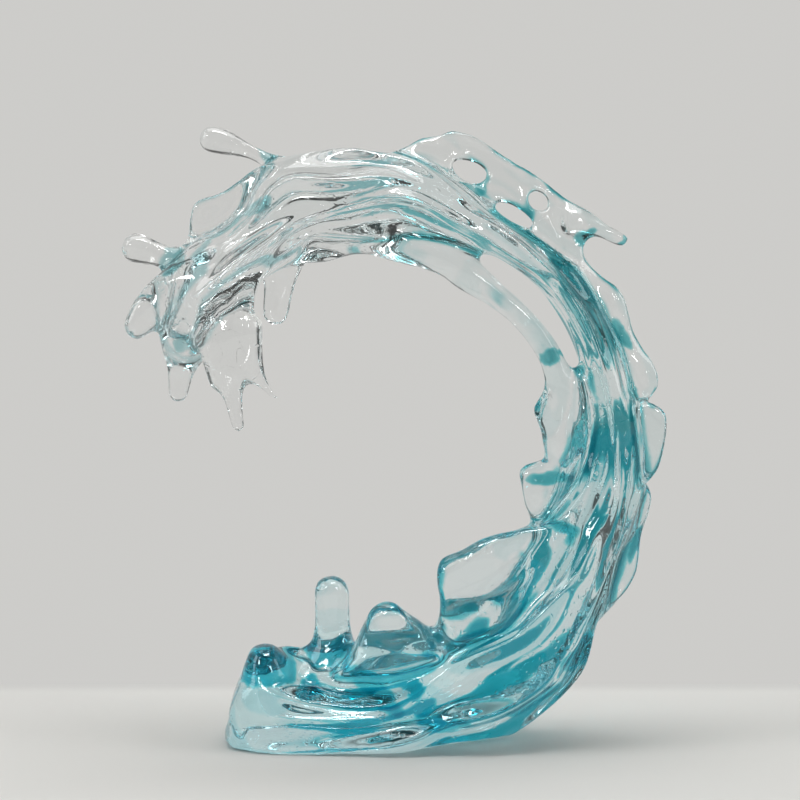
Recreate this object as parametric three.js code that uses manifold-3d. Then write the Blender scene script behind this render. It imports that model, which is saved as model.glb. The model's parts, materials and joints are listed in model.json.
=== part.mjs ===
// Breaking-wave sculpture, cast in clear tinted resin. The trunk of the wave is six castings, dowelled end to end
// round the curl; lobes, films and splash fingers are separate castings, scribed to the trunk and pegged into it.
//
// Every place is three numbers: an angle round the curl's axis (0 at the right, 90 at the top), an offset outwards
// from the curl's circle, and a depth along the axis (+Y, away from the viewer). The table is z = 0.
import * as THREE from 'three';
import { mergeVertices } from 'three/addons/utils/BufferGeometryUtils.js';
import Module from 'manifold-3d';

const wasm = await Module();
wasm.setup();

// Driving dimensions, in millimetres and degrees.
const CURL_RADIUS = 104; // the circle that the trunk of the wave runs round
const BASE_RISE = 45.5; // lowest point of that circle above the table
const CURL_HEIGHT = BASE_RISE + CURL_RADIUS; // the curl's axis above the table
const BOND = 0.3; // clear adhesive between two castings
const ROOT = 9; // how far a film starts inside the trunk before it is scribed to it
const DOWEL_RADIUS = 4.5; // joins two castings of the trunk
const DOWEL_LENGTH = 11;
const PEG_RADIUS = 2; // holds a lobe, film or finger
const PEG_LENGTH = 6;
const PEG_GRIP = 3; // part of a dowel or peg that stays in its own casting

// Flow ridges along the trunk.
const FLUTES = 8; // ridges round the trunk
const FLUTE_DEPTH = 0.22; // share of the section that a furrow takes
const FLUTE_FADE = 12; // degrees of curl over which the furrows rise from each end of the trunk
const FLUTE_SWELL = 0.6; // share by which a furrow deepens and shallows along the trunk
const FLUTE_WANDER = 0.22; // radians by which a ridge strays to either side along the trunk
const SWELL_LENGTH = 58; // degrees of curl from one swell of a ridge to the next
const WANDER_LENGTH = 83; // degrees of curl from one stray of a ridge to the next
const TWIST = 0.32; // turn of the ridges round the trunk for each degree of curl

// Films and fingers.
const FILM_HEEL = 0.5; // least height of a film's ends, inside the trunk
const FILM_TAPER = 0.35; // share of its thickness that a film loses from its root to its edge
const FILM_FLARE = 0.5; // share of its thickness that a film gains where it meets the trunk
const FILM_DISH = 0.45; // share of its thickness that a film loses half way up, inside its rim
const RIPPLE = 2.2; // how far the edge of a film waves to either side in depth
const RIPPLE_LENGTH = 17; // degrees of curl from one wave of a film to the next
const NECK_AT = 0.4; // how far along a finger its neck and its bulb are
const BULB_AT = 0.8;

// Fineness of the surfaces.
const FLUTE_STEPS = 3; // points from one ridge to the next
const TRUNK_STEP = 5; // degrees of curl from one section to the next
const STATION_MARGIN = 1; // least degrees from the end of a casting to the next section
const FILM_STEP = 4.8; // degrees of curl from one section of a film to the next
const FILM_SIDES = 11;
const FINGER_STEP = 0.18; // share of a finger from one section to the next
const TIP_SHARES = [0.5, 0.87]; // sections of a finger's round tip
const FINGER_SIDES = 9;
const PEG_SIDES = 8;
const SEARCH_STEP = 0.01; // share of a finger between two tests of where it leaves its carrier

// Trunk: angle, offset of the middle, half thickness, half depth, sway in depth.
const TRUNK = [
  [-122.5, 33, 4.5, 8, 3],
  [-121, 39, 14, 19, 4],
  [-119, 44, 24, 26, 5],
  [-115, 46.5, 32, 30, 6],
  [-104, 40, 36, 32, 6],
  [-90, 35, 36, 33, 6],
  [-75, 26, 35, 32, 5],
  [-60, 20, 28, 31, 4],
  [-52, 14.5, 26, 30, 3],
  [-45, 9, 22, 28, 3],
  [-30, 1.5, 18, 26, 3],
  [-10, 0, 15, 23, 4],
  [10, -1.5, 9.5, 21, 4],
  [25, -0.5, 8.5, 21, 4],
  [40, 0.5, 8, 21, 3],
  [60, 0, 8, 22, 2],
  [75, 2, 12.5, 24, 1],
  [89, 9, 20.5, 27, 0],
  [103, 8.5, 25, 31, -2],
  [114, 14, 25, 33, -4],
  [124, 8.5, 14, 32, -6],
  [135, 8, 12.5, 27, -8],
  [145, 8, 14, 23, -10],
  [152, 6, 13, 18, -12],
  [158, 3, 7, 10, -13],
];

// Castings of the trunk: where each ends.
const TRUNK_CASTINGS = [
  { name: 'base_swell', tint: 'deep', end: -78 },
  { name: 'lower_curl', tint: 'teal', end: -42 },
  { name: 'rising_curl', tint: 'aqua', end: 0 },
  { name: 'shoulder_curl', tint: 'pale', end: 45 },
  { name: 'upper_curl', tint: 'pale', end: 90 },
  { name: 'crest_curl', tint: 'clear', end: 158 },
];

// Ribbon: leaves the crest, runs inside the trunk across the slit and comes back at the fin lobe. Same columns.
const RIBBON = [
  [6, -25, 4, 6, -3],
  [16, -23, 6.5, 9, -4],
  [27, -22.2, 6.2, 9.5, -5],
  [40, -22.4, 6.2, 10, -6],
  [55, -22.8, 6.6, 11, -6],
  [63, -21.5, 8, 11, -6],
  [74, -18.7, 8.6, 12, -6],
  [88, -16.5, 8, 13, -5],
  [98, -13, 7, 12, -4],
  [104, -9, 4, 8, -3],
];

// Lobes and films on the trunk: side (1 on its outer face, -1 on its inner face), depth of the middle, thickness,
// lean in depth for each millimetre of height, angles of the pegs, and the edge as angle and height above the trunk.
const FILMS = {
  base_loop_lobe: {
    tint: 'deep', side: -1, depth: -15, thickness: 30, lean: -0.1, pegs: [-94],
    edge: [
      [-104, -ROOT], [-101, 9], [-99, 22], [-96.5, 25.5], [-93, 26.5], [-89.5, 24.5],
      [-86.5, 18.6], [-84.5, 15], [-81.5, 8.5], [-79.5, -ROOT],
    ],
  },
  wing_lobe: {
    tint: 'teal', side: -1, depth: -6, thickness: 27, lean: -0.15, pegs: [-66, -50],
    edge: [
      [-79, -ROOT], [-76.7, 7], [-75.4, 20], [-72.6, 30.5], [-67.3, 34], [-56.6, 32],
      [-44.4, 23], [-36.7, 15.5], [-31, 4], [-28, -ROOT],
    ],
  },
  small_lobe: {
    tint: 'aqua', side: -1, depth: 1, thickness: 20, lean: 0, pegs: [-20],
    edge: [
      [-37, -ROOT], [-34, 6], [-31, 14], [-26, 20], [-21.4, 25], [-17.2, 27], [-13.6, 24], [-11, 15], [-9, -ROOT],
    ],
  },
  fin_lobe: {
    tint: 'aqua', side: -1, depth: -3, thickness: 20, lean: -0.1, pegs: [-3],
    edge: [
      [-12, -ROOT], [-10, 8], [-8.6, 17], [-0.9, 22], [5.4, 26], [10.8, 28.5], [13.7, 25], [15.8, 17], [17, 4], [18, -ROOT],
    ],
  },
  lower_back_fin: {
    tint: 'aqua', side: 1, depth: 5, thickness: 13, lean: 0.15, pegs: [-32, -18],
    edge: [
      [-44, -ROOT], [-41, 0], [-37.8, 5.2], [-34.6, 9.5], [-30.1, 11], [-26.1, 8.7], [-22, 7], [-18.6, 8.6],
      [-14.3, 9], [-11.5, 6], [-9.5, -ROOT],
    ],
  },
  mid_back_fin: {
    tint: 'pale', side: 1, depth: -5, thickness: 12, lean: -0.1, pegs: [-3],
    edge: [
      [-13, -ROOT], [-11, 4], [-8, 8.5], [-3.7, 11], [0.2, 14], [4.4, 16.5], [6.5, 12], [8, -ROOT],
    ],
  },
  shoulder_film: {
    tint: 'pale', side: 1, depth: 3, thickness: 12, lean: 0.1, pegs: [15, 34],
    edge: [
      [5.5, -ROOT], [7, 9], [9, 17.5], [12.7, 19], [16, 17.5], [20, 14], [24, 13], [27, 15], [31, 16.5], [34, 16],
      [37, 12], [40, 11], [43, 9], [45, -ROOT],
    ],
  },
  top_film: {
    tint: 'pale', side: 1, depth: 5, thickness: 10, lean: 0.25, pegs: [50, 82],
    edge: [
      [42.5, -ROOT], [44, 14], [46, 27], [50, 29], [56, 29], [63, 30.2], [70, 30.3], [75, 29], [79.4, 25.5],
      [82.5, 19.5], [86, 10.5], [89, 3.5], [91, 0], [94, -ROOT],
    ],
  },
  crest_web: {
    tint: 'clear', side: 1, depth: -9, thickness: 13, lean: -0.1, pegs: [126],
    edge: [
      [112.5, -ROOT], [116, 3], [119, 8.5], [122, 12.5], [126, 16.8], [129.9, 22], [132, 20.8], [135.2, 13], [137, 5],
      [138.5, -ROOT],
    ],
  },
};

// Holes through the top film: angle, height above the trunk, half length along the film, half height.
const FILM_HOLES = [
  [74, 12, 8, 5.2],
  [62, 5, 12, 4.2],
  [58.3, 18, 4, 4],
];

// Drops, fingers and tongues: course as angle, offset and depth, starting inside the casting that carries them;
// radius at the root, the neck and the bulb; flatness is the share of that radius taken in depth.
const FINGERS = {
  base_stub: {
    tint: 'deep', carrier: 'trunk', radii: [17, 9.4, 9], flatness: 1,
    course: [[-104.5, 17, 8], [-106.5, 3, 8], [-110, -14, 8], [-114.4, -28.5, 7]],
  },
  base_knob: {
    tint: 'deep', carrier: 'trunk', radii: [11, 11.5, 9.5], flatness: 1.25,
    course: [[-114, 36, -3], [-118, 26, -4], [-122.8, 15, -5]],
  },
  base_bead: {
    tint: 'deep', carrier: 'trunk', radii: [8, 6, 5], flatness: 1.2,
    course: [[-112, 31, 9], [-114.5, 22, 9], [-117.2, 13, 9]],
  },
  hook_finger: {
    tint: 'pale', carrier: 'top_film', radii: [6, 3.8, 4], flatness: 1,
    course: [[50.5, 27, 10], [47, 33, 11], [42.5, 36, 12], [38.7, 40.5, 12]],
  },
  crest_finger_top: {
    tint: 'clear', carrier: 'trunk', radii: [9, 3.9, 7.2], flatness: 1,
    course: [[112, 26, 8], [115.8, 42, 8], [120, 55, 8], [123.6, 66.5, 7]],
  },
  crest_finger_left: {
    tint: 'clear', carrier: 'trunk', radii: [9.5, 4.4, 7.4], flatness: 1,
    course: [[136, 12, -6], [141, 28, -8], [143.5, 41, -9], [145, 53.5, -10]],
  },
  crest_finger_front: {
    tint: 'clear', carrier: 'trunk', radii: [15, 9.2, 6.4], flatness: 1,
    course: [[139, 9, -16], [147, 22, -21], [152.5, 26, -24], [159.5, 27, -26]],
  },
  crest_finger_drop: {
    tint: 'clear', carrier: 'trunk', radii: [15, 11, 5.4], flatness: 0.9,
    course: [[143, 9, -10], [153.5, 5.7, -12], [163, 1.5, -12], [172, 0, -11]],
  },
  crest_tongue: {
    tint: 'clear', carrier: 'trunk', radii: [18, 13, 11], flatness: 0.55,
    course: [[122, 9, -18], [133, 4, -24], [146, -11.5, -29], [159, -24, -31]],
  },
  tongue_drop: {
    tint: 'clear', carrier: 'crest_tongue', radii: [8, 6, 3.8], flatness: 0.9,
    course: [[148, -14, -30], [158, -22, -31], [168, -28, -32], [179, -32.5, -33]],
  },
  tongue_spike: {
    tint: 'clear', carrier: 'crest_tongue', radii: [10, 6.6, 2.8], flatness: 0.8,
    course: [[143, -16, -29], [150, -25.5, -30], [157, -36.5, -31], [162.5, -47.5, -31]],
  },
  tongue_barb: {
    tint: 'clear', carrier: 'crest_tongue', radii: [6, 4.6, 2.6], flatness: 0.9,
    course: [[143, -4, -26], [155, -10, -29], [165.5, -18, -32]],
  },
  crest_under_lobe: {
    tint: 'clear', carrier: 'trunk', radii: [11, 9, 7.5], flatness: 0.5,
    course: [[115, 4, 6], [123, -7, 7], [131, -18, 7], [139.5, -27.5, 6]],
  },
};

// Resin tints, from the base to the crest.
const TINTS = {
  deep: 0x0c98ad,
  teal: 0x2fa9ba,
  aqua: 0x6bbcc8,
  pale: 0xa9d2d8,
  clear: 0xd8e6e8,
};

const rad = THREE.MathUtils.degToRad;
const DEPTH_AXIS = new THREE.Vector3(0, 1, 0);

function at(angle, offset, depth) {
  const distance = CURL_RADIUS + offset;
  return new THREE.Vector3(
    distance * Math.cos(rad(angle)),
    depth,
    CURL_HEIGHT + distance * Math.sin(rad(angle)),
  );
}

// The angle and offset of a point. The angle jumps from 180 to -180 at the open side of the wave.
function polar(point) {
  const rise = point.z - CURL_HEIGHT;
  return {
    angle: THREE.MathUtils.radToDeg(Math.atan2(rise, point.x)),
    offset: Math.hypot(point.x, rise) - CURL_RADIUS,
  };
}

// A smooth curve through rows of numbers: the value in a column where the first column is at a place.
function smooth(rows, column, place) {
  const last = rows.length - 1;
  const here = THREE.MathUtils.clamp(place, rows[0][0], rows[last][0]);
  let i = 0;
  while (i < last - 1 && here > rows[i + 1][0]) i += 1;
  const slope = (k) => {
    const before = rows[Math.max(k - 1, 0)];
    const after = rows[Math.min(k + 1, last)];
    return (after[column] - before[column]) / (after[0] - before[0]);
  };
  const span = rows[i + 1][0] - rows[i][0];
  const t = (here - rows[i][0]) / span;
  const rise = rows[i + 1][column] - rows[i][column];
  const bend = (slope(i) * (1 - t) - slope(i + 1) * t) * span - rise * (1 - 2 * t);
  return rows[i][column] + rise * t + bend * t * (1 - t);
}

function section(rows, angle) {
  const [middle, thickness, depth, sway] = [1, 2, 3, 4].map((column) => smooth(rows, column, angle));
  return { middle, thickness, depth, sway };
}

// The angle that a length takes up on the inner face of a stream.
function arc(rows, angle, length) {
  const { middle, thickness } = section(rows, angle);
  return THREE.MathUtils.radToDeg(length / (CURL_RADIUS + middle - thickness));
}

// Even steps from one value to another, both included.
function steps(from, to, size) {
  const count = Math.max(1, Math.ceil((to - from) / size));
  return Array.from({ length: count + 1 }, (_, i) => from + ((to - from) * i) / count);
}

// A list of places with even steps put in wherever two of them are further apart than a size.
function stations(places, size) {
  return places.flatMap((place, i) => (i ? steps(places[i - 1], place, size).slice(1) : [place]));
}

function solidFrom(positions, triangles) {
  return new wasm.Manifold(
    new wasm.Mesh({
      numProp: 3,
      vertProperties: new Float32Array(positions),
      triVerts: new Uint32Array(triangles),
    }),
  );
}

function solidOf(geometry) {
  geometry.deleteAttribute('normal');
  geometry.deleteAttribute('uv');
  const merged = mergeVertices(geometry);
  return solidFrom(merged.attributes.position.array, merged.index.array);
}

// A closed solid through rings of points that turn right-handed about the direction of travel.
function loft(rings) {
  const sides = rings[0].length;
  const points = rings.flat();
  const triangles = [];
  for (let i = 0; i < rings.length - 1; i += 1) {
    for (let j = 0; j < sides; j += 1) {
      const near = i * sides + j;
      const next = i * sides + ((j + 1) % sides);
      triangles.push(near, next, next + sides, near, next + sides, near + sides);
    }
  }
  const middleOf = (ring) => ring.reduce((sum, p) => sum.add(p), new THREE.Vector3()).divideScalar(sides);
  const last = (rings.length - 1) * sides;
  const start = points.length;
  points.push(middleOf(rings[0]), middleOf(rings.at(-1)));
  for (let j = 0; j < sides; j += 1) {
    const next = (j + 1) % sides;
    triangles.push(start, next, j, start + 1, last + j, last + next);
  }
  return solidFrom(points.flatMap((p) => p.toArray()), triangles);
}

// A stretch of a stream that runs round the curl, with ridges that wind round it.
function stream(rows, from, to, { flutes = 0, twist = 0, sides }) {
  const ring = (angle, grow) => {
    const { middle, thickness, depth, sway } = section(rows, angle);
    const fromEnd = Math.min(angle - rows[0][0], rows.at(-1)[0] - angle);
    const furrowed = flutes ? FLUTE_DEPTH * THREE.MathUtils.smoothstep(fromEnd, 0, FLUTE_FADE) : 0;
    const swellAt = (angle / SWELL_LENGTH) * 2 * Math.PI;
    const wanderAt = (angle / WANDER_LENGTH) * 2 * Math.PI;
    return Array.from({ length: sides }, (_, j) => {
      const turn = (j / sides) * 2 * Math.PI;
      const furrow = furrowed * (1 + FLUTE_SWELL * Math.sin(swellAt + 3 * turn));
      const reach = 1 + furrow * (0.5 - Math.abs(Math.sin((flutes * turn) / 2)));
      const stray = flutes ? FLUTE_WANDER * Math.sin(wanderAt + 2 * turn) : 0;
      const theta = turn + stray + rad(twist * angle);
      return at(
        angle,
        middle + (thickness * reach + grow) * Math.cos(theta),
        sway + (depth * reach + grow) * Math.sin(theta),
      );
    });
  };
  return {
    body(grow) {
      const within = rows.map(([angle]) => angle).filter((angle) => (
        angle > from + STATION_MARGIN && angle < to - STATION_MARGIN
      ));
      const places = stations([from, ...within, to], TRUNK_STEP);
      if (grow) {
        places.unshift(from - arc(rows, from, grow));
        places.push(to + arc(rows, to, grow));
      }
      return loft(places.map((angle) => ring(angle, grow)));
    },
    inside(point) {
      const { angle, offset } = polar(point);
      const { middle, thickness, depth, sway } = section(rows, angle);
      return angle > from && angle < to
        && Math.hypot((offset - middle) / thickness, (point.y - sway) / depth) < 1;
    },
  };
}

function trunkEdge(side, angle) {
  const { middle, thickness } = section(TRUNK, angle);
  return middle + side * thickness;
}

// A film or lobe that stands on the trunk, thick at its root and thinner to its edge.
function film({ side, depth, thickness, lean, edge }) {
  const angles = stations(edge.map(([angle]) => angle), FILM_STEP);
  const ring = (angle, grow) => {
    const foot = trunkEdge(side, angle) - side * (ROOT + grow);
    const height = ROOT + FILM_HEEL + smooth(edge, 1, angle) + 2 * grow;
    return Array.from({ length: FILM_SIDES }, (_, j) => {
      const turn = (j / FILM_SIDES) * 2 * Math.PI;
      const rise = (height * (1 + side * Math.cos(turn))) / 2;
      const share = rise / height;
      const dish = FILM_DISH * Math.sin(Math.PI * share) ** 4;
      const slim = (1 - FILM_TAPER * share + FILM_FLARE * (1 - share) ** 2) * (1 - dish);
      const stand = Math.max(0, rise - ROOT);
      const wave = (RIPPLE * stand * Math.sin((angle / RIPPLE_LENGTH) * 2 * Math.PI)) / height;
      const middle = depth + lean * stand + wave;
      return at(angle, foot + side * rise, middle + (thickness / 2 + grow) * slim * Math.sin(turn));
    });
  };
  return {
    body: (grow) => loft(angles.map((angle) => ring(angle, grow))),
    inside(point) {
      const { angle, offset } = polar(point);
      const height = side * (offset - trunkEdge(side, angle));
      return height < smooth(edge, 1, angle) && Math.abs(point.y - depth - lean * height) < thickness / 2;
    },
  };
}

// A finger along its course: root, neck and bulb, closed by a round tip.
function finger({ course, radii, flatness }) {
  const path = new THREE.CatmullRomCurve3(course.map((place) => at(...place)));
  const length = path.getLength();
  const [root, neck, bulb] = radii;
  const profile = [[0, root], [NECK_AT, neck], [BULB_AT, bulb], [1, bulb]];
  const tip = 1 - bulb / length;
  const places = [
    ...steps(0, tip, FINGER_STEP),
    ...TIP_SHARES.map((share) => tip + (1 - tip) * share),
  ];
  const radiusAt = (place) => {
    const round = Math.max(0, (place - tip) / (1 - tip));
    return smooth(profile, 1, place) * Math.sqrt(1 - round * round);
  };
  const frameAt = (place) => {
    const ahead = path.getTangentAt(place);
    const across = new THREE.Vector3().crossVectors(DEPTH_AXIS, ahead).normalize();
    return { across, through: new THREE.Vector3().crossVectors(ahead, across) };
  };
  return {
    path,
    body(grow) {
      return loft(places.map((place) => {
        const { across, through } = frameAt(place);
        const radius = radiusAt(place);
        return Array.from({ length: FINGER_SIDES }, (_, j) => {
          const turn = (j / FINGER_SIDES) * 2 * Math.PI;
          return path.getPointAt(place)
            .addScaledVector(across, (radius + grow) * Math.cos(turn))
            .addScaledVector(through, (radius * flatness + grow) * Math.sin(turn));
        });
      }));
    },
    inside(point) {
      return steps(0, 1 - SEARCH_STEP, SEARCH_STEP).some((place) => {
        const away = point.clone().sub(path.getPointAt(place));
        const { across, through } = frameAt(place);
        const radius = radiusAt(place);
        const ahead = away.dot(path.getTangentAt(place));
        return Math.abs(ahead) < 1
          && Math.hypot(away.dot(across) / radius, away.dot(through) / (radius * flatness)) < 1;
      });
    },
  };
}

// A round pin between two points.
function pin(from, to, radius) {
  const along = new THREE.Vector3().subVectors(to, from);
  const geometry = new THREE.CylinderGeometry(radius, radius, along.length(), PEG_SIDES);
  const turn = new THREE.Quaternion().setFromUnitVectors(DEPTH_AXIS, along.clone().normalize());
  geometry.applyQuaternion(turn);
  geometry.translate(...from.clone().add(to).divideScalar(2).toArray());
  return solidOf(geometry);
}

const castings = new Map();

function lay(name, tint, shape, solid) {
  castings.set(name, { solid, grown: shape.body(BOND), shape, tint });
}

// Adds a casting that is scribed, with a bond's gap, to every casting that is already there. Only its main body
// stays: what scribing leaves in a furrow beyond it is cut away.
function scribe(name, tint, shape) {
  const standing = [...castings.values()].map(({ grown }) => grown);
  const bodies = shape.body(0).subtract(wasm.Manifold.union(standing)).decompose();
  bodies.sort((a, b) => b.volume() - a.volume());
  lay(name, tint, shape, bodies[0]);
}

// Gives a casting a pin that starts inside it and ends in a socket of its carrier.
function peg(name, carrier, surface, inward, radius, length) {
  const from = surface.clone().addScaledVector(inward, -PEG_GRIP);
  const to = surface.clone().addScaledVector(inward, length);
  const bottom = to.clone().addScaledVector(inward, BOND);
  const piece = castings.get(name);
  const holder = castings.get(carrier);
  piece.solid = piece.solid.add(pin(from, to, radius));
  holder.solid = holder.solid.subtract(pin(from, bottom, radius + BOND));
}

function trunkCastingAt(angle) {
  return (TRUNK_CASTINGS.find(({ end }) => angle < end) ?? TRUNK_CASTINGS.at(-1)).name;
}

const table = new THREE.BoxGeometry(4 * CURL_HEIGHT, 4 * CURL_HEIGHT, CURL_HEIGHT);
table.translate(0, 0, -CURL_HEIGHT / 2);
const belowTable = solidOf(table);

const trunkStyle = { flutes: FLUTES, twist: TWIST, sides: FLUTES * FLUTE_STEPS };
const trunk = stream(TRUNK, TRUNK[0][0], TRUNK.at(-1)[0], trunkStyle);

TRUNK_CASTINGS.forEach(({ name, tint, end }, i) => {
  const before = TRUNK_CASTINGS[i - 1];
  const start = before ? before.end + arc(TRUNK, before.end, BOND) : TRUNK[0][0];
  const shape = stream(TRUNK, start, end, trunkStyle);
  lay(name, tint, shape, shape.body(0).subtract(belowTable));
});

scribe('inner_ribbon', 'pale', stream(RIBBON, RIBBON[0][0], RIBBON.at(-1)[0], { sides: FILM_SIDES }));

for (const [name, spec] of Object.entries(FILMS)) {
  scribe(name, spec.tint, film(spec));
}

for (const [angle, height, halfLength, halfHeight] of FILM_HOLES) {
  const { depth, lean, thickness } = FILMS.top_film;
  const outline = new THREE.Shape();
  const middle = at(angle, trunkEdge(1, angle) + height, 0);
  outline.absellipse(middle.x, middle.z, halfLength, halfHeight, 0, 2 * Math.PI, false, rad(angle - 90));
  const cutter = new THREE.ExtrudeGeometry(outline, {
    depth: 4 * thickness, bevelEnabled: false, curveSegments: FILM_SIDES,
  });
  cutter.rotateX(Math.PI / 2);
  cutter.translate(0, depth + lean * height + 2 * thickness, 0);
  const holed = castings.get('top_film');
  holed.solid = holed.solid.subtract(solidOf(cutter));
}

for (const [name, spec] of Object.entries(FINGERS)) {
  scribe(name, spec.tint, finger(spec));
}

TRUNK_CASTINGS.slice(1).forEach(({ name }, i) => {
  const { end, name: carrier } = TRUNK_CASTINGS[i];
  const { middle, sway } = section(TRUNK, end);
  const inward = new THREE.Vector3(Math.sin(rad(end)), 0, -Math.cos(rad(end)));
  peg(name, carrier, at(end, middle, sway), inward, DOWEL_RADIUS, DOWEL_LENGTH);
});

for (const [name, { side, depth, pegs }] of Object.entries(FILMS)) {
  for (const angle of pegs) {
    const inward = new THREE.Vector3(-Math.cos(rad(angle)), 0, -Math.sin(rad(angle))).multiplyScalar(side);
    const surface = at(angle, trunkEdge(side, angle), depth);
    peg(name, trunkCastingAt(angle), surface, inward, PEG_RADIUS, PEG_LENGTH);
  }
}

for (const [name, { carrier }] of Object.entries(FINGERS)) {
  const { path } = castings.get(name).shape;
  const holder = carrier === 'trunk' ? trunk : castings.get(carrier).shape;
  const leave = steps(0, 1, SEARCH_STEP).find((place) => !holder.inside(path.getPointAt(place)));
  const surface = path.getPointAt(leave);
  const inward = path.getTangentAt(leave).negate();
  const into = carrier === 'trunk' ? trunkCastingAt(polar(surface).angle) : carrier;
  peg(name, into, surface, inward, PEG_RADIUS, PEG_LENGTH);
}

const group = new THREE.Group();
for (const [name, { solid, tint }] of castings) {
  const { vertProperties, triVerts } = solid.getMesh();
  const geometry = new THREE.BufferGeometry();
  geometry.setAttribute('position', new THREE.BufferAttribute(vertProperties, 3));
  geometry.setIndex(new THREE.BufferAttribute(triVerts, 1));
  geometry.computeVertexNormals();
  const material = new THREE.MeshStandardMaterial({ color: TINTS[tint], roughness: 0.05, metalness: 0 });
  const mesh = new THREE.Mesh(geometry, material);
  mesh.name = name;
  group.add(mesh);
}

export default group;
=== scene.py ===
import json
import math

import bmesh
import bpy
import numpy as np
import openvdb
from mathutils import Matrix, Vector
from mathutils.bvhtree import BVHTree


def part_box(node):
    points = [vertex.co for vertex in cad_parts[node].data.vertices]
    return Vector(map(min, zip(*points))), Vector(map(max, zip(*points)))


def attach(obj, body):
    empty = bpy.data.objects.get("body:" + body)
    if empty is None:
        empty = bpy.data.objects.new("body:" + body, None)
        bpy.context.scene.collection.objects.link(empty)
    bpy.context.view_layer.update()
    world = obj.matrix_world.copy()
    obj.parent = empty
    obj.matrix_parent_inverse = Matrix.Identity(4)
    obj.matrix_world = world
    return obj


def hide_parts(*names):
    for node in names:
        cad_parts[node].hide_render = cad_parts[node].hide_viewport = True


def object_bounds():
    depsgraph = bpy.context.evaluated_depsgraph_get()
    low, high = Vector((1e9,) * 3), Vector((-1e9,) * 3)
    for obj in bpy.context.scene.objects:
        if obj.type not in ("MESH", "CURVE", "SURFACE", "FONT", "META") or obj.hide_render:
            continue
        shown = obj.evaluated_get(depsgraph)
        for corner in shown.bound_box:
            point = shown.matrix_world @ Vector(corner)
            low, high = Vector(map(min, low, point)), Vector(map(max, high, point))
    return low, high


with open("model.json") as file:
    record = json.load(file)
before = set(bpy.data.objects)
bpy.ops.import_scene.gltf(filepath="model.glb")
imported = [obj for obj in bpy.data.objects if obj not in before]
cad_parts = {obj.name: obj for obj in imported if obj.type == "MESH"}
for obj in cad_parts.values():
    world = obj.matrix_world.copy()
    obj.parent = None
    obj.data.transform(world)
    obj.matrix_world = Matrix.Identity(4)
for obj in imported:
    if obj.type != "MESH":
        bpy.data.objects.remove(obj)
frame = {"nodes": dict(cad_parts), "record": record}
at_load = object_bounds()
nodes = frame["nodes"]
MM = 0.001

# Castings of the trunk from the foot to the crest, then films and lobes on it. The rest are drops and
# fingers.
TRUNK = ["base_swell", "lower_curl", "rising_curl", "shoulder_curl", "upper_curl", "crest_curl"]
FILMS = ["inner_ribbon", "base_loop_lobe", "wing_lobe", "small_lobe", "fin_lobe", "lower_back_fin",
         "mid_back_fin", "shoulder_film", "top_film", "crest_web"]
FINGERS = [name for name in nodes if name not in TRUNK + FILMS]
SLOT = {part["node"]: part["material_slot"] for part in frame["record"]["subparts"]}

# The curl turns about an axis along Y. The rising casting ends at its height, and the upper one straight
# above it.
AXIS_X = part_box("upper_curl")[0].x
AXIS_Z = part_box("rising_curl")[1].z
FOOT = at_load[0].z

# Distance grid: its cell, the cells from a surface within which it is exact, and the room round the part.
CELL = 0.9 * MM
BAND = 11
FAR = BAND * CELL / MM
PAD = 14 * MM
ORIGIN = np.array(at_load[0]) - PAD
DIMS = tuple(int(np.ceil(v)) for v in (np.array(at_load[1]) + PAD - ORIGIN) / CELL)
WELD = 0.0001 * MM

# How the castings flow into each other: fillets at films, fingers and the crest and the filling of the bonds
# in mm, and passes of blur.
FILM_MELT = 8.0
FINGER_MELT = 6.0
CREST_MELT = {"crest_finger_left": 9.0, "crest_finger_front": 11.0, "crest_finger_drop": 12.0,
              "crest_tongue": 11.0, "crest_under_lobe": 9.0}
BOND_FILL = 0.4
MELT_BLUR = 2

# Smoothing of the skin: passes along the flow and every way, how strictly along, and each pass's pull.
FLOW_PASSES = 26
SOFT_PASSES = 5
FLOW_FOCUS = 4
PULL = 0.5
SHORTEST = 1e-9


# Meshes and objects
def read(items, key, kind, width=1):
    """One attribute of all items of a mesh, with so many numbers for each."""
    out = np.empty(len(items) * width, kind)
    items.foreach_get(key, out)
    return out.reshape(-1, width) if width > 1 else out


def points(mesh):
    return read(mesh.vertices, "co", float, 3)


def edges(mesh):
    return read(mesh.edges, "vertices", np.int64, 2)


def normals(mesh):
    return read(mesh.vertex_normals, "vector", float, 3)


def put(mesh, co):
    mesh.vertices.foreach_set("co", np.ascontiguousarray(co, np.float32).ravel())
    mesh.update()


def new_object(name, data):
    obj = bpy.data.objects.new(name, data)
    bpy.context.scene.collection.objects.link(obj)
    return obj


# Distance fields
def distances(co, lo, shape, **faces):
    """Distances in mm from a closed surface, whose points are in cells, over a block of the grid."""
    grid = openvdb.FloatGrid.createLevelSetFromPolygons(
        co, transform=openvdb.createLinearTransform(1.0), halfWidth=float(BAND), **faces)
    out = np.empty(shape, np.float32)
    grid.copyToArray(out, ijk=lo)
    return out * (CELL / MM)


def shell(values, level):
    """Points in cells, and quads, of the surface on which a block of the grid has a value."""
    grid = openvdb.FloatGrid(FAR)
    grid.copyFromArray(np.ascontiguousarray(values, np.float32))
    return grid.convertToQuads(level)


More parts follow.
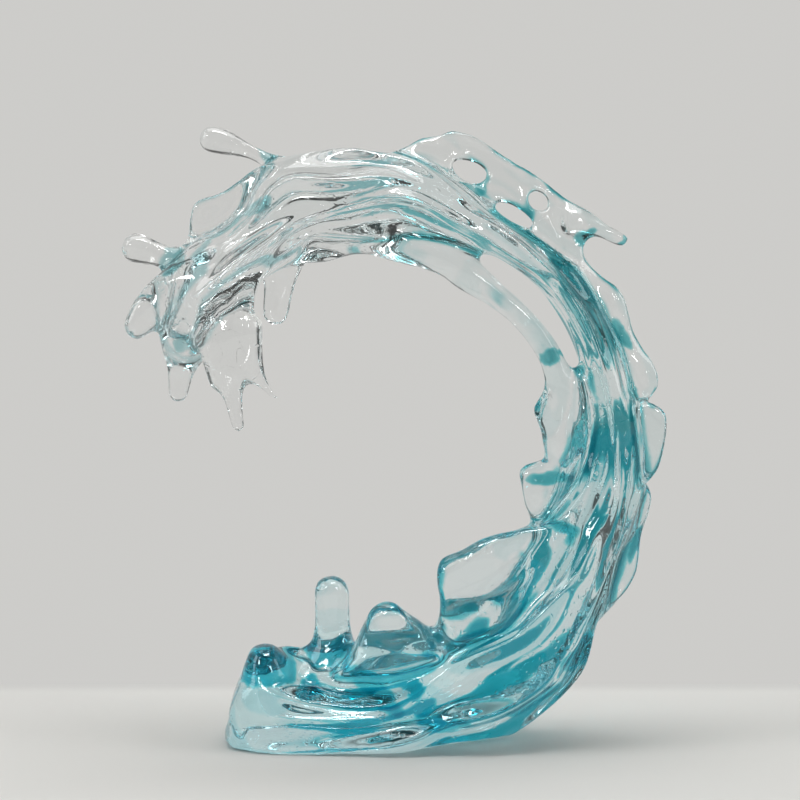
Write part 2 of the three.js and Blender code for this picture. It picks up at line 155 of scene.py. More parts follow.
def field(name):
    """Where a CAD node lies in the grid, and each cell's distance from its surface in mm, negative inside."""
    mesh = nodes[name].data
    co = points(mesh)
    mesh.calc_loop_triangles()
    tri = read(mesh.loop_triangles, "vertices", np.int32, 3)
    keys = np.round(co / WELD).astype(np.int64)
    _, kept, where = np.unique(keys, axis=0, return_index=True, return_inverse=True)
    tri = where.reshape(-1)[tri].astype(np.uint32)
    cells = ((co[kept] - ORIGIN) / CELL).astype(np.float32)
    lo = np.maximum(np.floor(cells.min(0)).astype(int) - BAND - 1, 0)
    hi = np.minimum(np.ceil(cells.max(0)).astype(int) + BAND + 2, DIMS)
    out = distances(cells, tuple(int(v) for v in lo), tuple(hi - lo), triangles=tri)
    return tuple(slice(int(a), int(b)) for a, b in zip(lo, hi)), out


def levelled(values, level):
    """True distances from the outer surface at a level: what is closed in, such as a bond, is filled."""
    co, quads = shell(values, level)
    return distances(co, (0, 0, 0), values.shape, quads=quads) + level


def surface(values, level, corner, name):
    """The closed mesh on which a block of the grid has a value."""
    co, quads = shell(values, level)
    mesh = bpy.data.meshes.new(name)
    mesh.vertices.add(len(co))
    mesh.loops.add(len(quads) * 4)
    mesh.polygons.add(len(quads))
    mesh.loops.foreach_set("vertex_index", np.ascontiguousarray(quads, np.int32).ravel())
    mesh.polygons.foreach_set("loop_start", np.arange(0, len(quads) * 4, 4, dtype=np.int32))
    mesh.polygons.foreach_set("use_smooth", np.ones(len(quads), bool))
    put(mesh, (co + np.array(corner)) * CELL + ORIGIN)
    mesh.update(calc_edges=True)
    return mesh


def spread(where, d):
    """A node's distances over the whole grid."""
    values = np.full(DIMS, FAR, np.float32)
    values[where] = d
    return values


def sample(values, co):
    i, j, k = np.clip(np.round((co - ORIGIN) / CELL).astype(int), 0, np.array(DIMS) - 1).T
    return values[i, j, k]


def melt(a, b, reach):
    """The union of two solids with a fillet."""
    t = np.clip(0.5 + 0.5 * (b - a) / reach, 0, 1)
    return b + (a - b) * t - reach * t * (1 - t)


def blur(a, passes):
    for _ in range(passes):
        for axis in range(3):
            a = np.moveaxis(a, axis, 0)
            b = a.copy()
            b[1:-1] = 0.25 * a[:-2] + 0.5 * a[1:-1] + 0.25 * a[2:]
            a = np.moveaxis(b, 0, axis)
    return a


# Smoothing over a mesh
def relax(co, ends, passes, along=None):
    """Pulls each point to the mean of its neighbours; with along, mostly to those that lie that way."""
    n = len(co)
    a, b = ends.T
    for _ in range(passes):
        if along is None:
            wa = wb = np.ones(len(ends))
        else:
            d = co[b] - co[a]
            d /= np.maximum(np.linalg.norm(d, axis=1), SHORTEST)[:, None]
            wa = np.einsum("ij,ij->i", d, along[a]) ** FLOW_FOCUS
            wb = np.einsum("ij,ij->i", d, along[b]) ** FLOW_FOCUS
        total = np.maximum(np.bincount(a, wa, n) + np.bincount(b, wb, n), 1.0)
        shift = np.empty_like(co)
        for k in range(3):
            gap = co[b, k] - co[a, k]
            shift[:, k] = (np.bincount(a, wa * gap, n) - np.bincount(b, wb * gap, n)) / total
        co = co + PULL * shift
    return co


def mean_of(values, ends, passes):
    """Values at a mesh's points, spread over their neighbours."""
    n = len(values)
    a, b = ends.T
    count = np.bincount(a, minlength=n) + np.bincount(b, minlength=n) + 1
    for _ in range(passes):
        values = (values + np.bincount(a, values[b], n) + np.bincount(b, values[a], n)) / count
    return values


BEND_PASSES = 14


def bends(co, ends, way):
    """Sum of the skin's two curvatures at each point, per mm: above zero in furrows, below it on rims."""
    outward = np.einsum("ij,ij->i", relax(co, ends, 1) - co, way) / MM
    return mean_of(outward, ends, BEND_PASSES) / (0.25 * PULL * (CELL / MM) ** 2)


# Noise: a lattice of random directions, the same on every run.
KNOTS = 256
LATTICE = np.random.default_rng(7)
TURNS = LATTICE.permutation(KNOTS)
DIRECTIONS = LATTICE.normal(size=(KNOTS, 3))
DIRECTIONS /= np.linalg.norm(DIRECTIONS, axis=1)[:, None]


def noise(p, grain, shift):
    """Smooth noise from about -0.7 to 0.7. Its grain has a size each way, and each use its own shift."""
    p = p / grain + shift
    base = np.floor(p).astype(np.int64)
    f = p - base
    w = f * f * f * (f * (f * 6 - 15) + 10)
    out = np.zeros(len(p))
    for corner in np.ndindex(2, 2, 2):
        c = np.array(corner)
        x, y, z = ((base + c) % KNOTS).T
        way = DIRECTIONS[TURNS[(TURNS[(TURNS[x] + y) % KNOTS] + z) % KNOTS]]
        share = np.prod(np.where(c, w, 1 - w), axis=1)
        out += share * np.einsum("ij,ij->i", way, f - c)
    return out


def ramp(x, lo, hi):
    t = np.clip((x - lo) / (hi - lo), 0.0, 1.0)
    return t * t * (3 - 2 * t)


# Flow: the trunk's middle line by angle round the curl, in degrees, and its twist in turns for each turn.
LINE_START = -118.0
LINE_END = 150.0
LINE_STEP = 4.0


def trunk_line():
    """Rows of angle, distance of the trunk's middle from the axis, its depth, and the size of its section."""
    co = np.concatenate([points(nodes[n].data) for n in TRUNK])
    x, y, z = co[:, 0] - AXIS_X, co[:, 1], co[:, 2] - AXIS_Z
    angle, away = np.degrees(np.arctan2(z, x)), np.hypot(x, z)
    rows = []
    for a in np.arange(LINE_START, LINE_END, LINE_STEP):
        near = abs(angle - a) < LINE_STEP
        inner, outer = away[near].min(), away[near].max()
        front, back = y[near].min(), y[near].max()
        size = math.sqrt((outer - inner) * (back - front)) / 2
        rows.append((a, (inner + outer) / 2, (front + back) / 2, size / MM))
    rows = np.array(rows)
    rows[1:-1, 3] = (rows[:-2, 3] + 2 * rows[1:-1, 3] + rows[2:, 3]) / 4
    return rows


LINE = trunk_line()
GIRTH = LINE[:, 1].mean() / MM
PLAIN_SIZE = 22.0
TWIST = 0.5


def angle_of(co):
    return np.degrees(np.arctan2(co[:, 2] - AXIS_Z, co[:, 0] - AXIS_X))


def size_of(co):
    """Size of the trunk's section as a share of a plain one: folds are as coarse as the trunk is thick."""
    return np.interp(angle_of(co), LINE[:, 0], LINE[:, 3]) / PLAIN_SIZE


def flow_space(co):
    """Length along the flow, and place across the trunk without its twist, in mm of a plain section."""
    x, z = co[:, 0] - AXIS_X, co[:, 2] - AXIS_Z
    turn = np.arctan2(z, x)
    angle = np.degrees(turn)
    size = size_of(co)
    u = (np.hypot(x, z) - np.interp(angle, LINE[:, 0], LINE[:, 1])) / MM / size
    v = (co[:, 1] - np.interp(angle, LINE[:, 0], LINE[:, 2])) / MM / size
    c, s = np.cos(turn * TWIST), np.sin(turn * TWIST)
    return np.stack([turn * GIRTH, u * c + v * s, v * c - u * s], 1)


def flow_way(co):
    x, z = co[:, 0] - AXIS_X, co[:, 2] - AXIS_Z
    away = np.maximum(np.hypot(x, z), MM)
    return np.stack([-z / away, np.zeros(len(co)), x / away], 1)


# Drops of colour on the front: place in x and z, half length along the flow and across it in mm, turn from
# the flow in degrees, strength of the colour, and depth of the dent under it in mm. One without colour is a
# clear window.
DROPS = (
    (-39.9, 30.0, 6.0, 5.0, 0, 0.95, 2.6),
    (-10.0, 31.0, 17.0, 5.0, -38, 0.85, 1.2),
    (0.5, 59.0, 9.0, 9.0, 0, 0.0, 2.6),
    (22.0, 15.0, 14.0, 4.0, -10, 0.8, 1.0),
    (19.0, 72.0, 5.0, 9.0, 0, 0.9, 0.6),
    (30.0, 66.0, 12.0, 3.0, 0, 0.7, 0.8),
    (85.0, 43.0, 11.0, 6.0, 0, 0.95, 1.8),
    (66.0, 24.0, 14.0, 4.0, 0, 0.8, 1.4),
    (116.0, 96.0, 10.0, 2.6, 0, 0.95, 0.8),
    (86.0, 217.0, 18.0, 4.5, 0, 0.85, 1.2),
    (73.0, 186.0, 4.0, 6.0, 0, 0.95, 1.2),
    (108.0, 196.0, 8.0, 2.5, 10, 0.9, 1.2),
    (72.0, 128.0, 11.0, 3.0, -70, 0.75, 1.0),
    (90.5, 242.0, 4.0, 6.0, 0, 0.8, 0.0),
    (111.0, 240.0, 3.0, 4.0, 0, 0.6, 0.0),
    (41.0, 268.0, 3.0, 6.0, 0, 0.6, 0.5),
    (-62.0, 284.0, 4.0, 6.0, 0, 0.6, 0.0),
    (-64.0, 256.0, 8.0, 3.5, 0, 0.5, 1.0),
    (-104.0, 231.0, 7.0, 6.0, 0, 0.6, 0.0),
    (-98.0, 192.0, 5.0, 6.0, 0, 0.4, 0.0),
)


def drops(co):
    """For each drop, how far points are from its middle as a share of its size; its colour; its dent."""
    for x, z, along, across, tilt, colour, dent in DROPS:
        aside = co - (x * MM, 0, z * MM)
        flow = math.atan2(z * MM - AXIS_Z, x * MM - AXIS_X) + math.radians(90 + tilt)
        u = aside[:, 0] * math.cos(flow) + aside[:, 2] * math.sin(flow)
        v = aside[:, 2] * math.cos(flow) - aside[:, 0] * math.sin(flow)
        yield np.hypot(u / along, v / across) / MM, colour, dent


# Folds, in mm of a plain section: how far strands stray, grain along the flow and across it, and height, with
# what the foot and the crest add to it.
STRAY = 9.0
STRAY_GRAIN = (46, 30, 30)
BROAD_GRAIN = (72, 21, 21)
BROAD_HEIGHT = (3.2, -2.1, 0.0)
FINE_GRAIN = (46, 10, 10)
FINE_HEIGHT = (0.8, -0.6, -0.2)
DIMPLE_GRAIN = (30, 18, 18)
DIMPLE_HEIGHT = (1.3, 0.9, 0.0)

# Angles round the curl over which the foot ends and the crest starts, in degrees.
FOOT_ENDS = (-95, -60)
CREST_STARTS = (95, 120)

# Noise is scaled by this to give strands, whose mean is then taken off.
STRAND_GAIN = 2.4
STRAND_MEAN = 0.62


def strands(p, grain, shift):
    """Round strands with sharp furrows between them, level on the whole."""
    return abs(noise(p, grain, shift)) * STRAND_GAIN - STRAND_MEAN


def folds(co):
    """Height of the flow's folds in mm: broad and fine strands, shallow dimples, and dents under drops."""
    p = flow_space(co)
    q = p.copy()
    q[:, 1:] += np.stack([noise(p, STRAY_GRAIN, 11.3), noise(p, STRAY_GRAIN, 51.7)], 1) * STRAY
    angle = angle_of(co)
    foot = 1 - ramp(angle, *FOOT_ENDS)
    crest = ramp(angle, *CREST_STARTS)

    def height(plain, at_foot, at_crest):
        return plain + at_foot * foot + at_crest * crest

    broad = height(*BROAD_HEIGHT) * strands(q, BROAD_GRAIN, 3.1)
    fine = height(*FINE_HEIGHT) * strands(q, FINE_GRAIN, 27.9)
    dimple = height(*DIMPLE_HEIGHT) * noise(p, DIMPLE_GRAIN, 71.3)
    front = co[:, 1] < np.interp(angle, LINE[:, 0], LINE[:, 2])
    dents = sum(dent * np.exp(-2 * reach ** 2) for reach, _, dent in drops(co))
    return size_of(co) * (broad + fine + dimple) - dents * front


# Where folds lie, in mm: how far from the surface they act, how far off a finger they are full and off the
# trunk they are least, their share on films, and what fingers take from them.
FOLD_BAND = 6.0
OFF_FINGER = (1.0, 7.0)
OFF_TRUNK = (1.0, 10.0)
FILM_SHARE = 0.6
FINGER_LOSS = 0.85


def whole_field():
    """The nodes' fields, the field of the whole wave, and those of the trunk, the films and the fingers."""
    fields = {name: field(name) for name in nodes}
    trunk = np.full(DIMS, FAR, np.float32)
    for name in TRUNK:
        where, d = fields[name]
        trunk[where] = np.minimum(trunk[where], d)
    slim = np.full(DIMS, FAR, np.float32)
    films = slim.copy()
    whole = trunk.copy()
    for name in FILMS:
        where, d = fields[name]
        whole[where] = melt(whole[where], d, FILM_MELT)
        films[where] = np.minimum(films[where], d)
    for name in FINGERS:
        where, d = fields[name]
        whole[where] = melt(whole[where], d, CREST_MELT.get(name, FINGER_MELT))
        slim[where] = np.minimum(slim[where], d)
    whole = levelled(blur(whole, MELT_BLUR), BOND_FILL)
    near = np.argwhere(abs(whole) < FOLD_BAND)
    i, j, k = near.T
    firm = 1 - ramp(slim[i, j, k], *OFF_FINGER)
    loose = 1 - ramp(trunk[i, j, k], *OFF_TRUNK)
    amount = (FILM_SHARE + (1 - FILM_SHARE) * loose) * (1 - FINGER_LOSS * firm)
    whole[i, j, k] -= folds(near * CELL + ORIGIN) * amount
    return fields, blur(whole, 1), (trunk, films, slim)


def skin(whole):
    mesh = surface(whole, 0.0, (0, 0, 0), "skin")
    co, ends = points(mesh), edges(mesh)
    co = relax(co, ends, SOFT_PASSES)
    co = relax(co, ends, FLOW_PASSES, flow_way(co))
    co = relax(co, ends, SOFT_PASSES)
    co[:, 2] = np.maximum(co[:, 2], FOOT)
    put(mesh, co)
    return mesh


# Colour round the curl. Rows: angle in degrees; strength of drifts, rims and seams; strength in furrows; how
# rare drifts are; strength at the necks of fingers.
COLOUR_RUN = np.array((
    (-120, 1.0, 1.0, 0.12, 0.85),
    (-85, 1.0, 1.0, 0.05, 0.85),
    (-60, 1.0, 1.0, -0.05, 0.8),
    (-10, 1.0, 0.9, 0.01, 0.8),
    (40, 0.95, 0.7, -0.07, 0.8),
    (90, 0.6, 0.3, 0.22, 0.5),
    (150, 0.3, 0.1, 0.5, 0.2),
))

# Angles over which the base, and the lumps at its left end, stop, in degrees.
BASE_ENDS = (-70, -50)
LUMPS_END = (-117, -112)

# Most colour in furrows, on rims, in the seams of films and on top of the knob.
IN_FURROWS = 0.9
ON_RIMS = 0.9
IN_SEAMS = 0.8
ON_KNOB = 0.75

# Share of the drifts on faces that look forward, what the lumps lose of them, and what other pieces off the
# trunk lose beyond that.
NEAR_SHARE = 0.12
LUMP_LOSS = 0.4
MORE_LOSS = 0.54

# Bends of furrows and rims, per mm.
FURROW_BEND = (0.06, 0.17)
RIM_BEND = (0.10, 0.24)

# Width of a seam, where off the trunk it ends and a film begins, and where a finger's own skin ends, in mm.
SEAM = 2.6
SEAM_ENDS = (2.0, 6.0)
FILM_BEGINS = (1.5, 6.0)
FINGER_ENDS = (0.5, 3.0)

# Parts of a normal that look back, forward and up.
FACES_BACK = (-0.2, 0.5)
FACES_FRONT = (-0.1, 0.25)
FACES_UP = (0.0, 0.25)

# Edges of a clear window and of a drop as shares of its size, and of seams, drifts, patches and streaks.
WINDOW_EDGE = (0.7, 1.1)
DROP_EDGE = (0.85, 1.0)
SEAM_EDGE = (0.3, 0.7)
DRIFT_EDGE = 0.035
PATCH_EDGE = (-0.15, 0.1)
STREAK_EDGE = (-0.2, 0.15)

# Grain of the colour along the flow and across it, in mm of a plain section.
PATCH_GRAIN = (24, 12, 12)
SMEAR_GRAIN = (34, 16, 16)
DRIFT_GRAIN = (110, 11, 11)
WISP_GRAIN = (55, 6, 6)
CAP_GRAIN = (14, 9, 9)
RAGGED_GRAIN = (14, 6, 6)
TORN_GRAIN = (7, 3, 3)
STREAK_GRAIN = (16, 4, 4)


def dye(mesh, knob, trunk, films, slim):
    """How much colour lies at each point of the skin: in furrows, seams, drifts and drops, and along rims."""
    co, ends, way = points(mesh), edges(mesh), normals(mesh)
    bend = bends(co, ends, way)
    knob, trunk, films, slim = (sample(values, co) for values in (knob, trunk, films, slim))
    film = ramp(trunk, *FILM_BEGINS)
    finger = 1 - ramp(slim, *FINGER_ENDS)
    p = flow_space(co)
    angle = angle_of(co)
    level, thread, least, neck = (np.interp(angle, COLOUR_RUN[:, 0], run) for run in COLOUR_RUN.T[1:])
    base = 1 - ramp(angle, *BASE_ENDS)
    patch = ramp(noise(p, PATCH_GRAIN, 57.3), *PATCH_EDGE)

    furrow = IN_FURROWS * ramp(bend, *FURROW_BEND) * thread
    rim = ON_RIMS * ramp(-bend, *RIM_BEND) * film * (1 - finger) * level * np.maximum(patch, base)

    q = p + noise(p, SMEAR_GRAIN, 37.1)[:, None] * (0.0, STRAY, STRAY)
    drift = noise(q, DRIFT_GRAIN, 91.7) + 0.5 * noise(q, WISP_GRAIN, 13.9)
    held = 1 - film * (LUMP_LOSS + MORE_LOSS * ramp(angle, *LUMPS_END))
    far = NEAR_SHARE + (1 - NEAR_SHARE) * ramp(way[:, 1], *FACES_BACK)
    pool = ramp(drift, least, least + DRIFT_EDGE) * far * held * level

    def joint(values):
        return ramp(np.exp(-((values - trunk) / SEAM) ** 2) * (1 - ramp(trunk, *SEAM_ENDS)), *SEAM_EDGE)

    film_seam = IN_SEAMS * joint(films) * np.maximum(patch, 0.8 * base) * level
    seam = np.maximum(film_seam, neck * joint(slim))
    upward = ramp(way[:, 2] + 0.35 * noise(p, CAP_GRAIN, 5.5), *FACES_UP)
    cap = ON_KNOB * (1 - ramp(knob, *FINGER_ENDS)) * upward

    ragged = 0.7 * noise(p, RAGGED_GRAIN, 21.3) + 0.4 * noise(p, TORN_GRAIN, 44.1)
    streak = 0.6 + 0.4 * ramp(noise(p, STREAK_GRAIN, 66.6), *STREAK_EDGE)
    front = 1 - ramp(way[:, 1], *FACES_FRONT)
    spot = np.max([colour * (1 - ramp(reach + ragged, *DROP_EDGE)) for reach, colour, _ in drops(co)], axis=0)
    clear = np.min([ramp(reach, *WINDOW_EDGE) for reach, colour, _ in drops(co) if not colour], axis=0)
    most = np.max([furrow, rim, seam, cap, pool, spot * front * streak], axis=0)
    return mean_of(most * clear, ends, 1)


# Cutting. Ties between castings go to one side by a hair, cuts lie a little past the middle, and bonded faces
# are drawn back from each other.
TIE = 0.01
PAST_MIDDLE = 0.4
OUTSIDE = 1.0
BOND_GAP = 0.015 * MM
NEAREST = 1e-7


def cut(mesh, tool, how):
    target, other = (new_object(data.name, data) for data in (mesh, tool))
    mod = target.modifiers.new("cut", "BOOLEAN")
    mod.solver = "MANIFOLD"
    mod.operation = how
    mod.object = other
    made = bpy.data.meshes.new_from_object(target.evaluated_get(bpy.context.evaluated_depsgraph_get()))
    for obj in (target, other):
        bpy.data.objects.remove(obj)
    return made


def main_body(mesh):
    """A mesh without the slivers that cutting leaves beside its main body."""
    a, b = edges(mesh).T
    body = np.arange(len(mesh.vertices))
    while True:
        least = np.minimum(body[a], body[b])
        joined = body.copy()
        np.minimum.at(joined, a, least)
        np.minimum.at(joined, b, least)
        joined = joined[joined]
        if (joined == body).all():
            break
        body = joined
    stray = np.flatnonzero(body != np.bincount(body).argmax())
    if len(stray):
        bm = bmesh.new()
        bm.from_mesh(mesh)
        bm.verts.ensure_lookup_table()
        bmesh.ops.delete(bm, geom=[bm.verts[i] for i in stray], context="VERTS")
        bm.to_mesh(mesh)
        bm.free()
    return mesh


def pieces(mesh, fields):
    """The skin, cut half way between each casting and its neighbours. Cut faces have material index 1."""
    first = np.full(DIMS, FAR, np.float32)
    second = first.copy()
    owner = np.full(DIMS, -1, np.int8)
    names = FINGERS + FILMS + TRUNK
    for i, name in enumerate(names):
        where, d = fields[name]
        nearer = d < first[where]
        second[where] = np.where(nearer, first[where], np.minimum(second[where], d))
        owner[where][nearer] = i
        first[where] = np.minimum(first[where], d)
    for _ in range(2):
        mesh.materials.append(None)
    made = {}
    for i, name in enumerate(names[:-1]):
        where, d = fields[name]
        side = np.where(owner[where] == i, first[where] - second[where], d - first[where] + TIE)
        side = blur(side, 1)
        for axis in range(3):
            end = np.moveaxis(side, axis, 0)
            end[0] = end[-1] = OUTSIDE
        tool = surface(side, PAST_MIDDLE, [s.start for s in where], "tool")
        for _ in range(2):
            tool.materials.append(None)
        tool.polygons.foreach_set("material_index", np.ones(len(tool.polygons), np.int32))
        made[name] = main_body(cut(mesh, tool, "INTERSECT"))
        mesh = cut(mesh, tool, "DIFFERENCE")
    made[names[-1]] = main_body(mesh)
    return made


# Node trees
def add(tree, kind, **values):
    """A node with values for its sockets and settings."""
    node = tree.nodes.new("ShaderNode" + kind)
    for key, value in values.items():
        if key in node.inputs:
            node.inputs[key].default_value = value
        else:
            setattr(node, key, value)
    return node


def step(tree, socket, lo, hi, low, high):
    """A soft step from low to high as a value goes from lo to hi."""
    node = add(tree, "MapRange", interpolation_type="SMOOTHSTEP")
    for name, value in zip(("From Min", "From Max", "To Min", "To Max"), (lo, hi, low, high)):
        node.inputs[name].default_value = value
    tree.links.new(socket, node.inputs["Value"])
    return node.outputs["Result"]


def maths(tree, how, a, b=None):
    node = add(tree, "Math", operation=how)
    for socket, value in zip(node.inputs, (a, b)):
        if isinstance(value, (int, float)):
            socket.default_value = value
        elif value is not None:
            tree.links.new(value, socket)
    return node.outputs["Value"]


def blank_material(name):
    """A material with its output as the only node."""
    mat = bpy.data.materials.new(name)
    mat.use_nodes = True
    mat.node_tree.nodes.clear()
    return mat, mat.node_tree, add(mat.node_tree, "OutputMaterial")


# Resin, from the base to the crest: strength of the colour inside it, tint of its surface, and its dye.
HUE = (0.0, 0.82, 0.95)
RESIN = {
    "resin_deep": (5.0, (0.96, 0.99, 0.995), (0.0002, 0.24, 0.40)),
    "resin_teal": (3.4, (0.965, 0.99, 0.995), (0.0002, 0.19, 0.29)),
    "resin_aqua": (2.8, (0.97, 0.99, 0.995), (0.0004, 0.15, 0.21)),
    "resin_pale": (1.8, (0.98, 0.995, 0.995), (0.001, 0.14, 0.18)),
    "resin_clear": (0.6, (0.99, 0.995, 0.995), (0.01, 0.15, 0.19)),
}
IOR = 1.5
SHADE_STOPS = (0.25, 0.5)
FLECKS_PER_M = 420.0
FLECK_EDGE = (0.60, 0.76)
FLECK_HEIGHT = 0.08 * MM


def resin(name):
    """Clear resin, dyed on its surface and flecked. Bonded faces are marked by 1 in bond and don't show."""
    density, tint, deep = RESIN[name]
    mat, tree, out = blank_material(name)
    link = tree.links.new
    glass = add(tree, "BsdfPrincipled", Roughness=0.0, IOR=IOR, **{"Transmission Weight": 1.0})
    link(glass.outputs["BSDF"], out.inputs["Surface"])

    colour = add(tree, "Attribute", attribute_name="dye")
    shade = add(tree, "ValToRGB")
    stops = shade.color_ramp.elements
    for place in SHADE_STOPS:
        stops.new(place)
    for stop in stops:
        stop.color = (*(t * d ** stop.position for t, d in zip(tint, deep)), 1)
    link(colour.outputs["Fac"], shade.inputs["Fac"])

    bond = add(tree, "Attribute", attribute_name="bond")
    plain = add(tree, "Mix", data_type="RGBA", B=(1, 1, 1, 1))
    link(bond.outputs["Fac"], plain.inputs["Factor"])
    link(shade.outputs["Color"], plain.inputs["A"])
    link(plain.outputs["Result"], glass.inputs["Base Color"])
    index = add(tree, "MapRange", **{"To Min": IOR, "To Max": 1.0})
    link(bond.outputs["Fac"], index.inputs["Value"])
    link(index.outputs["Result"], glass.inputs["IOR"])

    flecks = add(tree, "TexNoise", Scale=FLECKS_PER_M, Detail=1.0)
    link(add(tree, "TexCoord").outputs["Object"], flecks.inputs["Vector"])
    relief = add(tree, "Bump", Strength=1.0, Distance=FLECK_HEIGHT)
    link(step(tree, flecks.outputs["Fac"], *FLECK_EDGE, 0.0, 1.0), relief.inputs["Height"])
    link(relief.outputs["Normal"], glass.inputs["Normal"])

    inside = add(tree, "VolumeAbsorption", Color=(*HUE, 1), Density=density)
    link(inside.outputs["Volume"], out.inputs["Volume"])
    return mat


RESINS = {name: resin(name) for name in RESIN}


# Pieces of the part
def reader(mesh, dyed):
    """A function that gives the skin's normals and dye at points on it."""
    co, way = points(mesh), normals(mesh)
    corners = read(mesh.loops, "vertex_index", np.int32).reshape(-1, 4)
    tree = BVHTree.FromPolygons([Vector(p) for p in co], corners.tolist())

    def at(spots):
        found = [tree.find_nearest(spot) for spot in spots]
        near = corners[[face for _, _, face, _ in found]]
        spots = np.array([spot for spot, _, _, _ in found])
        share = 1.0 / (np.linalg.norm(co[near] - spots[:, None], axis=2) + NEAREST)
        share /= share.sum(1)[:, None]
        mean = (way[near] * share[:, :, None]).sum(1)
        return mean / np.linalg.norm(mean, axis=1)[:, None], (dyed[near] * share).sum(1)

    return at


def mark(mesh, name, domain, values):
    mesh.attributes.new(name, "FLOAT", domain).data.foreach_set("value", values.astype(np.float32))


def dress(name, mesh, skin_at):
    """A cut casting as a piece of the part: bonded faces marked and drawn back, with the skin's own looks."""
    bonded = read(mesh.polygons, "material_index", np.int32)
    corners = read(mesh.loops, "vertex_index", np.int32)
    sizes = read(mesh.polygons, "loop_total", np.int32)
    on_skin = np.zeros(len(mesh.vertices), bool)
    on_skin[corners[np.repeat(bonded == 0, sizes)]] = True
    co, way = points(mesh), normals(mesh)
    tone = np.zeros(len(co))
    way[on_skin], tone[on_skin] = skin_at(co[on_skin])
    co[~on_skin] -= way[~on_skin] * BOND_GAP
    put(mesh, co)
    mesh.materials.clear()
    mesh.materials.append(RESINS[SLOT[name]])
    mesh.polygons.foreach_set("material_index", np.zeros(len(mesh.polygons), np.int32))
    mesh.polygons.foreach_set("use_smooth", np.ones(len(mesh.polygons), bool))
    mark(mesh, "dye", "POINT", tone)
    mark(mesh, "bond", "FACE", bonded)
    mesh.normals_split_custom_set_from_vertices(way.astype(np.float32))
    obj = new_object("cast_" + name, mesh)
    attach(obj, "root")
    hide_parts(name)


FIELDS, WHOLE, KINDS = whole_field()
SKIN = skin(WHOLE)
DYED = dye(SKIN, spread(*FIELDS["base_knob"]), *KINDS)
SKIN_AT = reader(SKIN, DYED)
for name, mesh in pieces(SKIN, FIELDS).items():
    dress(name, mesh, SKIN_AT)


# Stage: a pale table top that fades into a pale room. It ends close behind the part, and so many times as far
# away on the other sides.
PALE = 0.61
GLOOM = 0.05
WALL_TINT = (1.0, 0.993, 0.965)
TABLE_TINT = (0.75, 0.745, 0.72)
TABLE_END = (0.108, 0.135)
TABLE_SPAN = 10
TABLE_HALF = 40.0
FLOOR = FOOT - 0.2 * MM


def table_top():
    mat, tree, out = blank_material("table_top")
    cloth = add(tree, "BsdfDiffuse", Color=(*TABLE_TINT, 1))
    room = add(tree, "Emission", Color=(*WALL_TINT, 1), Strength=PALE)
    mix = add(tree, "MixShader")
    split = add(tree, "SeparateXYZ")
    tree.links.new(add(tree, "TexCoord").outputs["Object"], split.inputs["Vector"])
    ahead = maths(tree, "MULTIPLY", split.outputs["Y"], -1 / TABLE_SPAN)
    aside = maths(tree, "MULTIPLY", maths(tree, "ABSOLUTE", split.outputs["X"]), 1 / TABLE_SPAN)
    away = maths(tree, "MAXIMUM", split.outputs["Y"], maths(tree, "MAXIMUM", ahead, aside))
    tree.links.new(step(tree, away, *TABLE_END, 0.0, 1.0), mix.inputs["Fac"])
    tree.links.new(cloth.outputs["BSDF"], mix.inputs[1])
    tree.links.new(room.outputs["Emission"], mix.inputs[2])
    tree.links.new(mix.outputs["Shader"], out.inputs["Surface"])
    return mat


CORNERS = ((-1, -1), (1, -1), (1, 1), (-1, 1))
top = bpy.data.meshes.new("table_top")
top.from_pydata([(x * TABLE_HALF, y * TABLE_HALF, FLOOR) for x, y in CORNERS], [], [(0, 1, 2, 3)])
top.materials.append(table_top())
table = new_object("table_top", top)

# Lamps: place, width and height in m, and power in W. Soft ones aren't seen through the resin, and glints
# don't light the table.
LAMPS_AIM = Vector((0, 0, 0.15))
SOFT_LAMPS = {
    "overhead": ((0, 0, 1.5), 1.4, 0.9, 14.0),
    "left": ((-1.3, -0.3, 0.8), 0.5, 0.9, 5.5),
    "right": ((1.3, -0.25, 0.7), 0.5, 0.9, 4.6),
}
GLINTS = {
    "glint_left": ((-0.9, -0.9, 0.9), 0.16, 0.3, 4.2),
    "glint_right": ((0.7, -1.0, 0.75), 0.12, 0.3, 3.0),
    "glint_top": ((0.1, -0.25, 1.1), 0.5, 0.12, 4.5),
}


def lamp(name, place, width, height, power):
    data = bpy.data.lights.new(name, "AREA")
    data.shape = "RECTANGLE"
    data.size, data.size_y = width, height
    data.energy = power
    obj = new_object(name, data)
    obj.location = place
    obj.rotation_euler = (LAMPS_AIM - Vector(place)).to_track_quat("-Z", "Y").to_euler()
    return obj


for name, row in SOFT_LAMPS.items():
    lamp(name, *row).visible_transmission = False
for name, row in GLINTS.items():
    lamp(name, *row).visible_diffuse = False

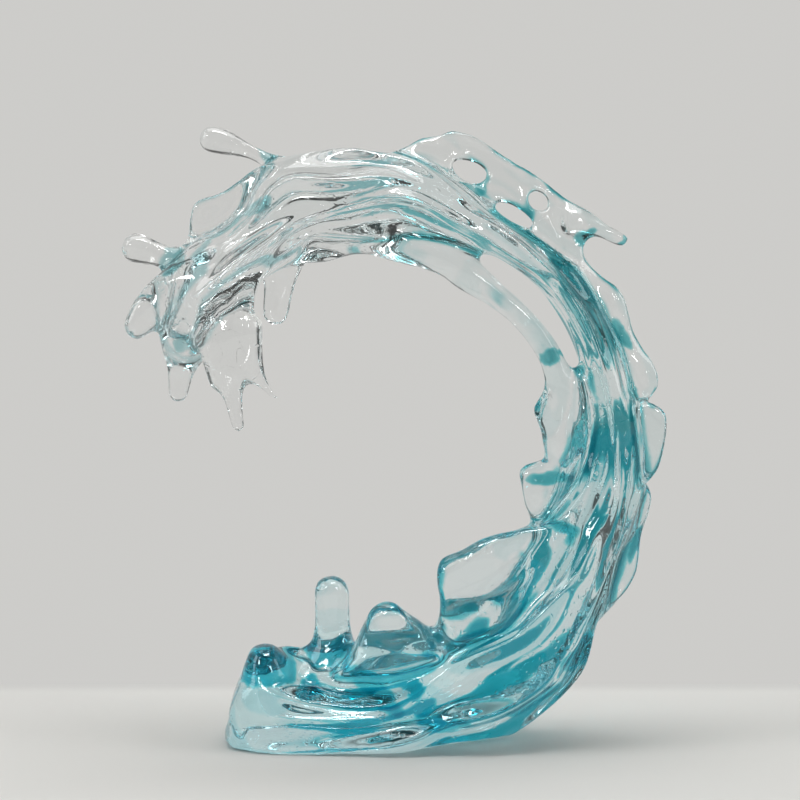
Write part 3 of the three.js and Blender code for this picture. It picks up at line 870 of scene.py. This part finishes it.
# Room: the camera sees a pale wall all round. To the resin it is pale behind and dark above, at both sides
# and in front. Each row: the part of a direction over which it changes, and the light before and after that.
ROOF = (0.62, 0.78, 1.0, 0.0)
SIDES = (0.80, 0.93, 1.0, 0.05)
FRONT = (-0.65, -0.35, 0.08, 1.0)

world = bpy.data.worlds.new("room")
bpy.context.scene.world = world
world.use_nodes = True
room = world.node_tree
split = add(room, "SeparateXYZ")
room.links.new(add(room, "TexCoord").outputs["Generated"], split.inputs["Vector"])
low = step(room, split.outputs["Z"], *ROOF)
sides = step(room, maths(room, "ABSOLUTE", split.outputs["X"]), *SIDES)
front = step(room, split.outputs["Y"], *FRONT)
glow = maths(room, "MULTIPLY", maths(room, "MULTIPLY", low, sides), front)
lit = maths(room, "ADD", maths(room, "MULTIPLY", glow, PALE - GLOOM), GLOOM)
wall = maths(room, "MULTIPLY", add(room, "LightPath").outputs["Is Camera Ray"], PALE)
background = room.nodes["Background"]
background.inputs["Color"].default_value = (*WALL_TINT, 1)
room.links.new(maths(room, "MAXIMUM", lit, wall), background.inputs["Strength"])

# Camera: fitted to the photograph by the outline of the part. It aims a little beside and above the axis.
ELEVATION = math.radians(4.5)
DISTANCE = 0.9
AIM_ASIDE = 2.15
AIM_ABOVE = 15.7
LENS = 84.8
centre = Vector((AXIS_X, 0, AXIS_Z))
forward = Vector((0, math.cos(ELEVATION), -math.sin(ELEVATION)))
upward = Vector((0, math.sin(ELEVATION), math.cos(ELEVATION)))
aim = centre + (Vector((AIM_ASIDE * MM, 0, 0)) + upward * AIM_ABOVE * MM)
camera = new_object("camera", bpy.data.cameras.new("camera"))
camera.location = centre - forward * DISTANCE
camera.rotation_euler = (aim - camera.location).to_track_quat("-Z", "Y").to_euler()
camera.data.sensor_width = 36
camera.data.lens = LENS
camera.data.clip_start = 0.01

scene = bpy.context.scene
scene.camera = camera
scene.view_settings.view_transform = "Standard"
scene.cycles.max_bounces = 40
scene.cycles.transmission_bounces = 40
scene.cycles.glossy_bounces = 12
scene.cycles.transparent_max_bounces = 32
